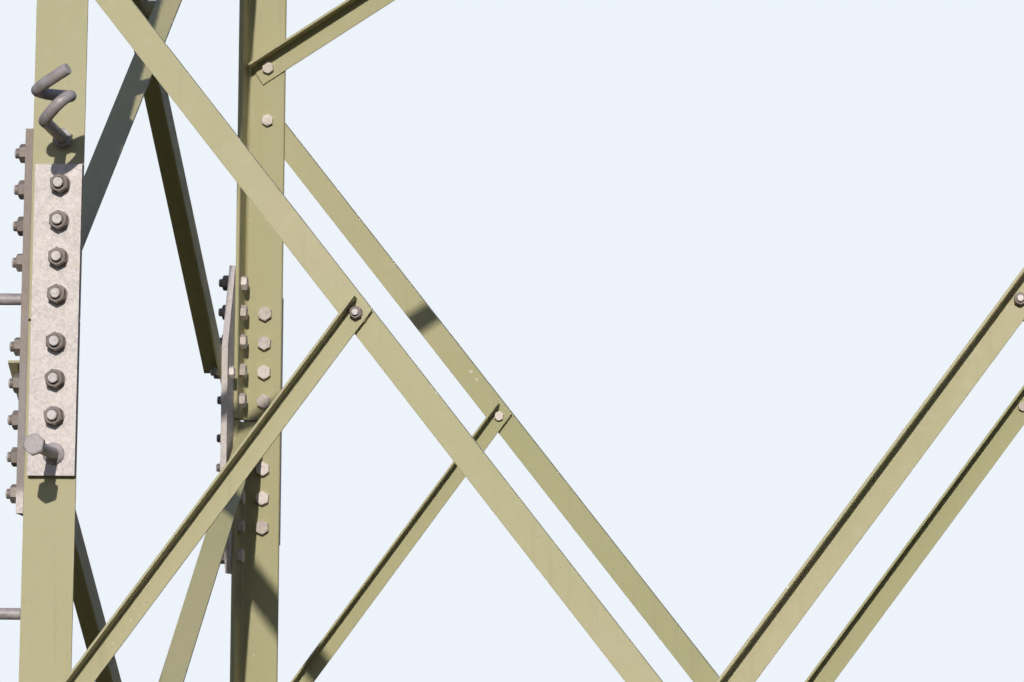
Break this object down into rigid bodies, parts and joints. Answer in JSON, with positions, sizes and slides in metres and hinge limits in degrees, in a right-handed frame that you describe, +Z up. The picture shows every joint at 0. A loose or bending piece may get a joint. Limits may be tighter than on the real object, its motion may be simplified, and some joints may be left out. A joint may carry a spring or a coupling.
{
  "type": "lattice transmission pylon",
  "caption": "Bolted angle-steel lattice pylon with tapering body, crossarms on two levels, hanging insulator strings, a pointed peak and concrete foundation heads.",
  "frame": {"origin": "middle of the underside of the front left foundation head, at ground level", "axes": "+Z up along the body, +X along the crossarms, +Y from the pictured front face to the back"},
  "size_m": [14.4, 3.438, 29.3508],
  "materials": {
    "green_paint": "satin khaki green paint, chipped and dusty",
    "galvanised_plate": "mottled hot-dip galvanised plates",
    "galvanised_fittings": "dull hot-dip galvanised",
    "zinc_bolts": "weathered galvanised",
    "porcelain": "brown glaze",
    "concrete": "weathered cast concrete"
  },
  "bodies": {
    "root": {"foundation_front_left": "concrete", "foundation_front_right": "concrete", "foundation_back_right": "concrete", "foundation_back_left": "concrete", "lower_leg_front_left": "green_paint", "lower_leg_front_right": "green_paint", "lower_leg_back_right": "green_paint", "lower_leg_back_left": "green_paint", "middle_leg_front_left": "green_paint", "middle_leg_front_right": "green_paint", "middle_leg_back_right": "green_paint", "middle_leg_back_left": "green_paint", "upper_leg_front_left": "green_paint", "upper_leg_front_right": "green_paint", "upper_leg_back_right": "green_paint", "upper_leg_back_left": "green_paint", "lower_splice_plates": "galvanised_plate", "upper_splice_plates": "galvanised_plate", "lower_bracing_front": "green_paint", "lower_bracing_right": "green_paint", "lower_bracing_back": "green_paint", "lower_bracing_left": "green_paint", "upper_bracing_front": "green_paint", "upper_bracing_right": "green_paint", "upper_bracing_back": "green_paint", "upper_bracing_left": "green_paint", "belt_frames": "green_paint", "lower_arm_left": "green_paint", "lower_arm_right": "green_paint", "upper_arm_left": "green_paint", "upper_arm_right": "green_paint", "peak": "green_paint", "earth_wire_bracket": "galvanised_fittings", "lower_insulators_left": "porcelain", "lower_insulators_right": "porcelain", "upper_insulators_left": "porcelain", "upper_insulators_right": "porcelain", "lower_fittings_left": "galvanised_fittings", "lower_fittings_right": "galvanised_fittings", "upper_fittings_left": "galvanised_fittings", "upper_fittings_right": "galvanised_fittings", "step_bolts": "zinc_bolts", "rope_anchor": "zinc_bolts"}
  },
  "joints": []
}
